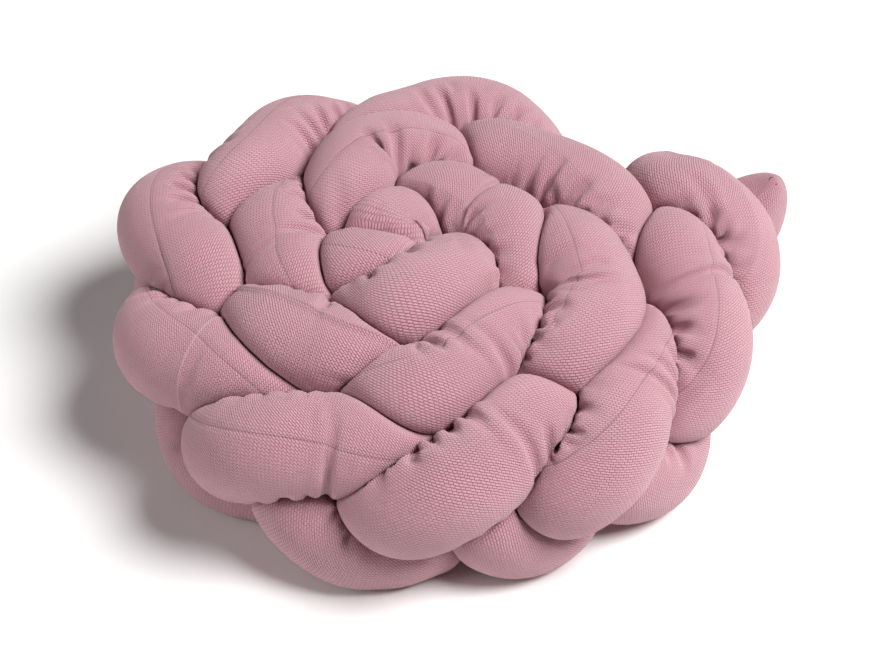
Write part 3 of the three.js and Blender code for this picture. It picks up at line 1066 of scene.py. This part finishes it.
def cover_mesh(strand, points, marks):
    """Closed mesh of one cover, with the cloth's own flat coordinates in metres as its UV map. The
    thin caps at its ends take a single place of the cloth, away from the seam."""
    mesh = bpy.data.meshes.new(STRAND_NODES[strand.number])
    index = np.arange(RINGS * SIDES).reshape(RINGS, SIDES)
    after = np.roll(index, -1, 1)
    quads = np.stack((index[:-1], after[:-1], after[1:], index[1:]), 2).reshape(-1, 4)
    caps = [index[0][::-1].tolist(), index[-1].tolist()]
    mesh.from_pydata(points.reshape(-1, 3).tolist(), [], quads.tolist() + caps)
    girth = math.pi * bpy.context.scene.bumper_plait.strand_diameter
    cut = np.percentile(edge_lengths(points, 1, 0), EDGE_PERCENT, axis=1)
    along = np.append(0, np.cumsum(blurred(cut, ALONG_BLUR)))
    across = np.cumsum(blurred(edge_lengths(points, 0, 1), ACROSS_BLUR), axis=1)
    across = np.pad(across * girth / across[:, -1:], ((0, 0), (1, 0)))
    u = np.stack((across[:-1, :-1], across[:-1, 1:], across[1:, 1:], across[1:, :-1]), 2)
    v = np.stack((along[:-1],) * 2 + (along[1:],) * 2, 1)
    grid = np.empty((RINGS - 1, SIDES, 4, 2), np.float32)
    grid[..., 0] = u
    grid[..., 1] = v[:, None]
    flat = np.full((len(mesh.loops), 2), girth / 4, np.float32)
    flat[:grid.size // 2] = grid.reshape(-1, 2)
    layer = mesh.uv_layers.new(name="cloth")
    layer.data.foreach_set("uv", flat.ravel())
    for name, values in marks.items():
        layer = mesh.attributes.new(name, "FLOAT", "POINT")
        layer.data.foreach_set("value", values.ravel())
    mesh.shade_smooth()
    mesh.update()
    return mesh


class BUMPER_OT_plait(bpy.types.Operator):
    """Plaits, swells and settles the three stuffed strands"""

    bl_idname = "bumper.plait"
    bl_label = "Plait the strands"

    def execute(self, context):
        lines = np.stack([plaited_line(strand) for strand in range(len(STRAND_NODES))])
        strands = [Strand(number, line) for number, line in enumerate(settled(lines))]
        covers = []
        for strand in strands:
            directions, share = spokes(strand)
            reach = free_reach(strand, strands, directions)
            inner = np.minimum(reach, bend_reach(strand, directions))
            radius = swelled_radius(strand, directions, share, inner)
            points = strand.middle[:, None] + directions * radius[..., None]
            points[..., 2] = np.maximum(points[..., 2], 0)
            covers.append((strand, points, directions, reach))
        # The swelled covers are centred on the box of the CAD part
        low = np.min([points.min((0, 1)) for _, points, _, _ in covers], 0)
        high = np.max([points.max((0, 1)) for _, points, _, _ in covers], 0)
        shift = (np.array(CAD_BOX[0]) + np.array(CAD_BOX[1]) - low - high) / 2
        shift[2] = 0
        cloth = rose_waffle_pique()
        for strand, points, directions, reach in covers:
            points = settle_cloth(strand, points, directions, reach)
            crease(strand, points, directions)
            marks = sew(strand, points)
            hold_in(strand, points, directions, reach)
            node = STRAND_NODES[strand.number]
            mesh = cover_mesh(strand, points + shift, marks)
            piece = bpy.data.objects.new(node + "_cover", mesh)
            context.collection.objects.link(piece)
            piece.data.materials.append(cloth)
            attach(piece, "root")
            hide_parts(node)
        return {"FINISHED"}


class BUMPER_OT_stage(bpy.types.Operator):
    """Sets up the pale floor, the soft studio lights and the camera"""

    bl_idname = "bumper.stage"
    bl_label = "Set up the stage"

    def execute(self, context):
        stage = context.scene.bumper_stage
        self.add_floor(context, stage)
        self.add_lights(context)
        self.add_camera(context, stage)
        # The plain sRGB view keeps the floor white and the pinks near the photo's
        context.scene.view_settings.view_transform = "Standard"
        return {"FINISHED"}

    def add_floor(self, context, stage):
        mesh = bpy.data.meshes.new("studio_floor")
        turns = ((-1, -1), (1, -1), (1, 1), (-1, 1))
        corners = [(x * FLOOR_HALF, y * FLOOR_HALF, 0) for x, y in turns]
        mesh.from_pydata(corners, [], [range(len(corners))])
        floor = bpy.data.objects.new("studio_floor", mesh)
        floor.location.z = -FLOOR_DROP
        context.collection.objects.link(floor)
        paper = bpy.data.materials.new("matt_studio_paper")
        paper.use_nodes = True
        shader = paper.node_tree.nodes["Principled BSDF"]
        shader.inputs["Base Color"].default_value = hex_linear(stage.floor)
        shader.inputs["Roughness"].default_value = 0.9
        mesh.materials.append(paper)

    def add_lights(self, context):
        world = bpy.data.worlds.new("studio_room")
        world.use_nodes = True
        background = world.node_tree.nodes["Background"]
        background.inputs["Color"].default_value = (1, 1, 1, 1)
        background.inputs["Strength"].default_value = ROOM_LIGHT
        context.scene.world = world
        for lamp in LAMPS:
            light = bpy.data.lights.new(lamp.name, "AREA")
            light.shape = "DISK"
            light.size = lamp.width
            light.energy = lamp.power
            softbox = bpy.data.objects.new(lamp.name, light)
            softbox.location = lamp.place
            softbox.rotation_euler = (-Vector(lamp.place)).to_track_quat("-Z", "Y").to_euler()
            context.collection.objects.link(softbox)

    def add_camera(self, context, stage):
        back = Vector((0, -math.cos(stage.elevation), math.sin(stage.elevation)))
        data = bpy.data.cameras.new("photo_camera")
        data.lens = stage.lens
        data.sensor_width = SENSOR_WIDTH
        camera = bpy.data.objects.new("photo_camera", data)
        camera.location = CAMERA_AIM + back * stage.distance
        camera.rotation_euler = (-back).to_track_quat("-Z", "Y").to_euler()
        context.collection.objects.link(camera)
        context.scene.camera = camera


class BUMPER_PT_panel(bpy.types.Panel):
    bl_idname = "BUMPER_PT_panel"
    bl_label = "Braided crib bumper"
    bl_space_type = "VIEW_3D"
    bl_region_type = "UI"
    bl_category = "Bumper"

    def draw(self, context):
        for name in SETTINGS:
            group = getattr(context.scene, name)
            box = self.layout.box()
            for field in group.__annotations__:
                box.prop(group, field)
        self.layout.operator(BUMPER_OT_plait.bl_idname)
        self.layout.operator(BUMPER_OT_stage.bl_idname)


SETTINGS = {
    "bumper_plait": PlaitSettings,
    "bumper_cover": CoverSettings,
    "bumper_fabric": FabricSettings,
    "bumper_stage": StageSettings,
}
CLASSES = (*SETTINGS.values(), BUMPER_OT_plait, BUMPER_OT_stage, BUMPER_PT_panel)


def register():
    for cls in CLASSES:
        bpy.utils.register_class(cls)
    for name, group in SETTINGS.items():
        setattr(bpy.types.Scene, name, PointerProperty(type=group))


def unregister():
    for name in SETTINGS:
        delattr(bpy.types.Scene, name)
    for cls in reversed(CLASSES):
        bpy.utils.unregister_class(cls)


def main():
    register()
    bpy.ops.bumper.plait()
    bpy.ops.bumper.stage()


if __name__ == "__main__":
    main()
